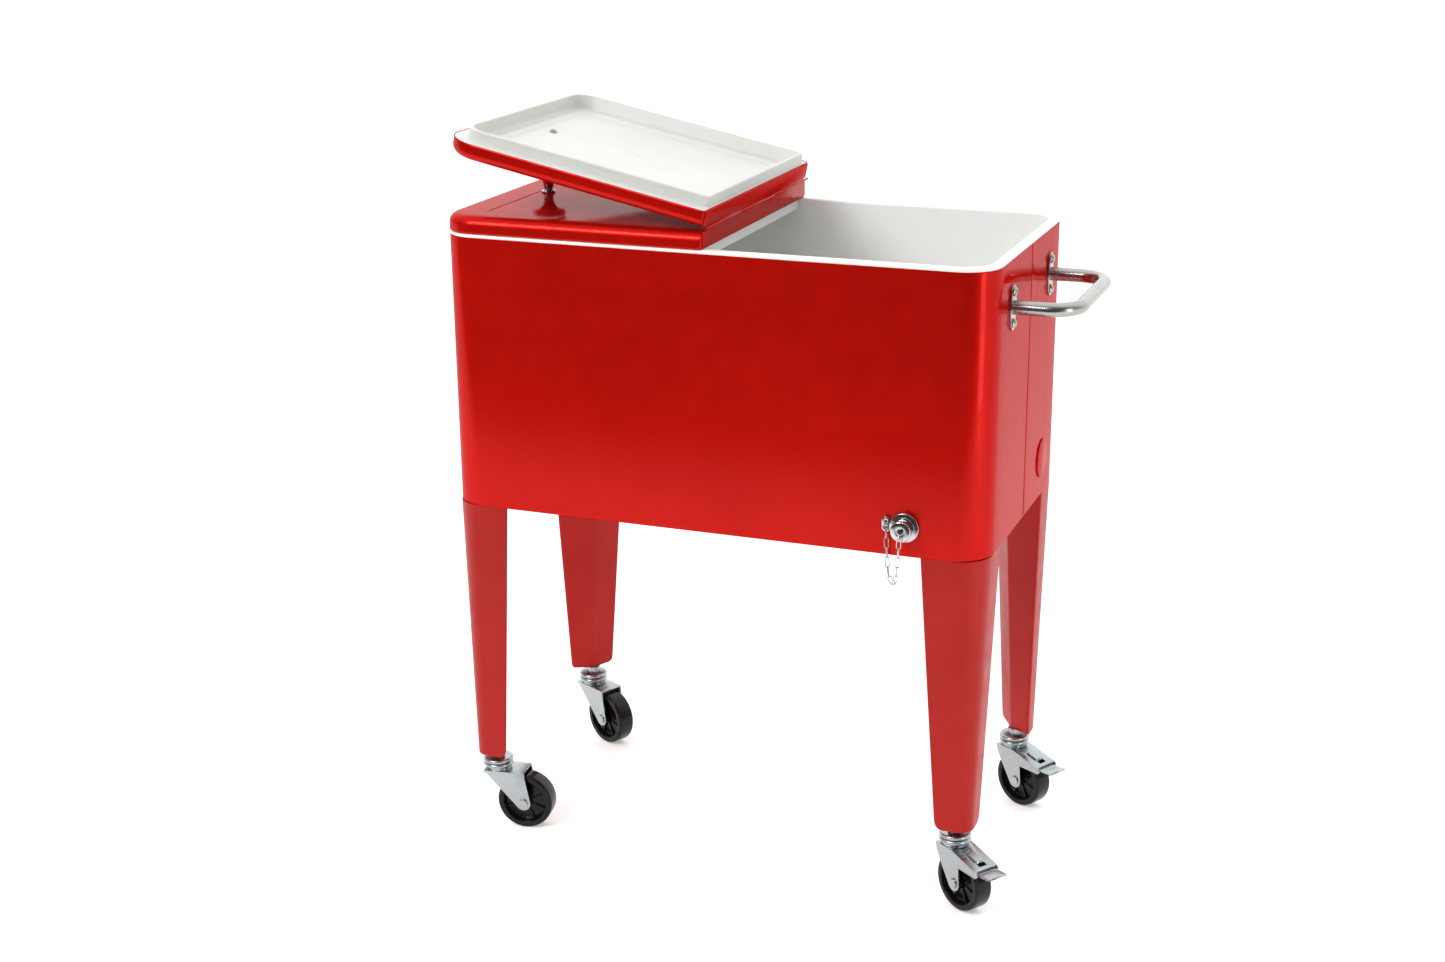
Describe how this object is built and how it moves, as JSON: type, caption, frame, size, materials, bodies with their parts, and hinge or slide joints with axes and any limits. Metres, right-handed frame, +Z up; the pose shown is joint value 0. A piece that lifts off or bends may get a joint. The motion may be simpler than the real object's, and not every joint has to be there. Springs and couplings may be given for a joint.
{
  "type": "rolling patio cooler chest",
  "caption": "Insulated red steel cooler chest on tapered legs with swivel casters, hinged half lids over a white tub, an end push handle and a chained drain cap.",
  "frame": {"origin": "on the floor, under the middle of the tub's painted shell", "axes": "+Z up, +X along the tub towards the push handle, +Y from the drain side to the back"},
  "size_m": [0.7835, 0.4043, 0.9372],
  "materials": {
    "red_paint": "glossy red enamel on sheet steel",
    "white_plastic": "moulded white plastic, low sheen",
    "foam": "rigid insulating foam",
    "satin_stainless": "satin brushed stainless",
    "chrome": "bright chrome plate",
    "zinc": "bright zinc plate with a bluish cast",
    "dark_steel": "dark oiled steel",
    "black_rubber": "matt black rubber",
    "black_plastic": "glossy black moulded plastic"
  },
  "bodies": {
    "chest": {"outer_shell": "red_paint", "bottom_panel": "red_paint", "inner_liner": "white_plastic", "foam_insulation": "foam", "leg_fl": "red_paint", "leg_fr": "red_paint", "leg_bl": "red_paint", "leg_br": "red_paint", "leg_bolts": "zinc", "push_handle": "satin_stainless", "handle_plate_front": "satin_stainless", "handle_plate_back": "satin_stainless", "handle_bolts": "satin_stainless", "handle_nuts": "zinc", "drain_spout": "chrome", "drain_nut": "white_plastic", "drain_gasket": "black_rubber", "chain_tab": "chrome", "drain_chain": "chrome", "foam_port_plug": "red_paint", "caster_top_fl": "zinc", "caster_top_fr": "zinc", "caster_top_bl": "zinc", "caster_top_br": "zinc"},
    "left_lid": {"left_lid_shell": "red_paint", "left_lid_tray": "white_plastic", "left_lid_foam": "foam", "left_knob": "chrome", "left_knob_screw": "zinc", "left_hinge_leaf": "red_paint", "hinge_pin": "dark_steel"},
    "right_lid": {"right_lid_shell": "red_paint", "right_lid_tray": "white_plastic", "right_lid_foam": "foam", "right_knob": "chrome", "right_knob_screw": "zinc", "right_hinge_leaf": "red_paint"},
    "drain_eye": {"cap_eye": "chrome"},
    "drain_cap": {"drain_cap": "chrome", "cap_seal": "black_rubber"},
    "caster_fl": {"fork_fl": "zinc", "axle_fl": "zinc"},
    "wheel_fl": {"wheel_fl": "black_plastic"},
    "caster_fr": {"fork_fr": "zinc", "axle_fr": "zinc", "brake_pin_fr": "zinc"},
    "wheel_fr": {"wheel_fr": "black_plastic"},
    "brake_fr": {"brake_pedal_fr": "zinc"},
    "caster_bl": {"fork_bl": "zinc", "axle_bl": "zinc"},
    "wheel_bl": {"wheel_bl": "black_plastic"},
    "caster_br": {"fork_br": "zinc", "axle_br": "zinc", "brake_pin_br": "zinc"},
    "wheel_br": {"wheel_br": "black_plastic"},
    "brake_br": {"brake_pedal_br": "zinc"}
  },
  "joints": [
    {"name": "lid_lift", "type": "slide", "parent": "chest", "child": "left_lid", "axis": [0, 0, 1], "range_m": [0, 0.3]},
    {"name": "lid_hinge", "type": "hinge", "parent": "left_lid", "child": "right_lid", "pos_m": [0, 0, 0.8327], "axis": [0, 1, 0], "range_deg": [0, 168.2]},
    {"name": "cap_travel", "type": "slide", "parent": "chest", "child": "drain_eye", "axis": [0, -1, 0], "range_m": [0, 0.00721], "deforming": ["drain_chain"]},
    {"name": "cap_turn", "type": "hinge", "parent": "drain_eye", "child": "drain_cap", "pos_m": [0.252, -0.2, 0.4961], "axis": [0, -1, 0], "range_deg": [0, 1440]},
    {"name": "swivel_fl", "type": "hinge", "parent": "chest", "child": "caster_fl", "pos_m": [-0.315, -0.1535, 0.09], "axis": [0, 0, 1], "continuous": true},
    {"name": "roll_fl", "type": "hinge", "parent": "caster_fl", "child": "wheel_fl", "pos_m": [-0.27687, -0.14814, 0.0375], "axis": [-0.1392, 0.9903, 0], "continuous": true},
    {"name": "swivel_fr", "type": "hinge", "parent": "chest", "child": "caster_fr", "pos_m": [0.315, -0.1535, 0.09], "axis": [0, 0, 1], "continuous": true},
    {"name": "roll_fr", "type": "hinge", "parent": "caster_fr", "child": "wheel_fr", "pos_m": [0.33075, -0.16412, 0.0375], "axis": [0.5592, 0.829, 0], "continuous": true},
    {"name": "brake_fr", "type": "hinge", "parent": "caster_fr", "child": "brake_fr", "pos_m": [0.34236, -0.17195, 0.069], "axis": [0.5592, 0.829, 0], "range_deg": [0, 8]},
    {"name": "swivel_bl", "type": "hinge", "parent": "chest", "child": "caster_bl", "pos_m": [-0.315, 0.1535, 0.09], "axis": [0, 0, 1], "continuous": true},
    {"name": "roll_bl", "type": "hinge", "parent": "caster_bl", "child": "wheel_bl", "pos_m": [-0.2807, 0.13602, 0.0375], "axis": [0.454, 0.891, 0], "continuous": true},
    {"name": "swivel_br", "type": "hinge", "parent": "chest", "child": "caster_br", "pos_m": [0.315, 0.1535, 0.09], "axis": [0, 0, 1], "continuous": true},
    {"name": "roll_br", "type": "hinge", "parent": "caster_br", "child": "wheel_br", "pos_m": [0.3317, 0.14443, 0.0375], "axis": [0.4772, 0.8788, 0], "continuous": true},
    {"name": "brake_br", "type": "hinge", "parent": "caster_br", "child": "brake_br", "pos_m": [0.344, 0.13775, 0.069], "axis": [0.4772, 0.8788, 0], "range_deg": [0, 8]}
  ],
  "couplings": [
    {"joint": "cap_travel", "follows": "cap_turn", "m_per_rad": 0.00028648}
  ]
}
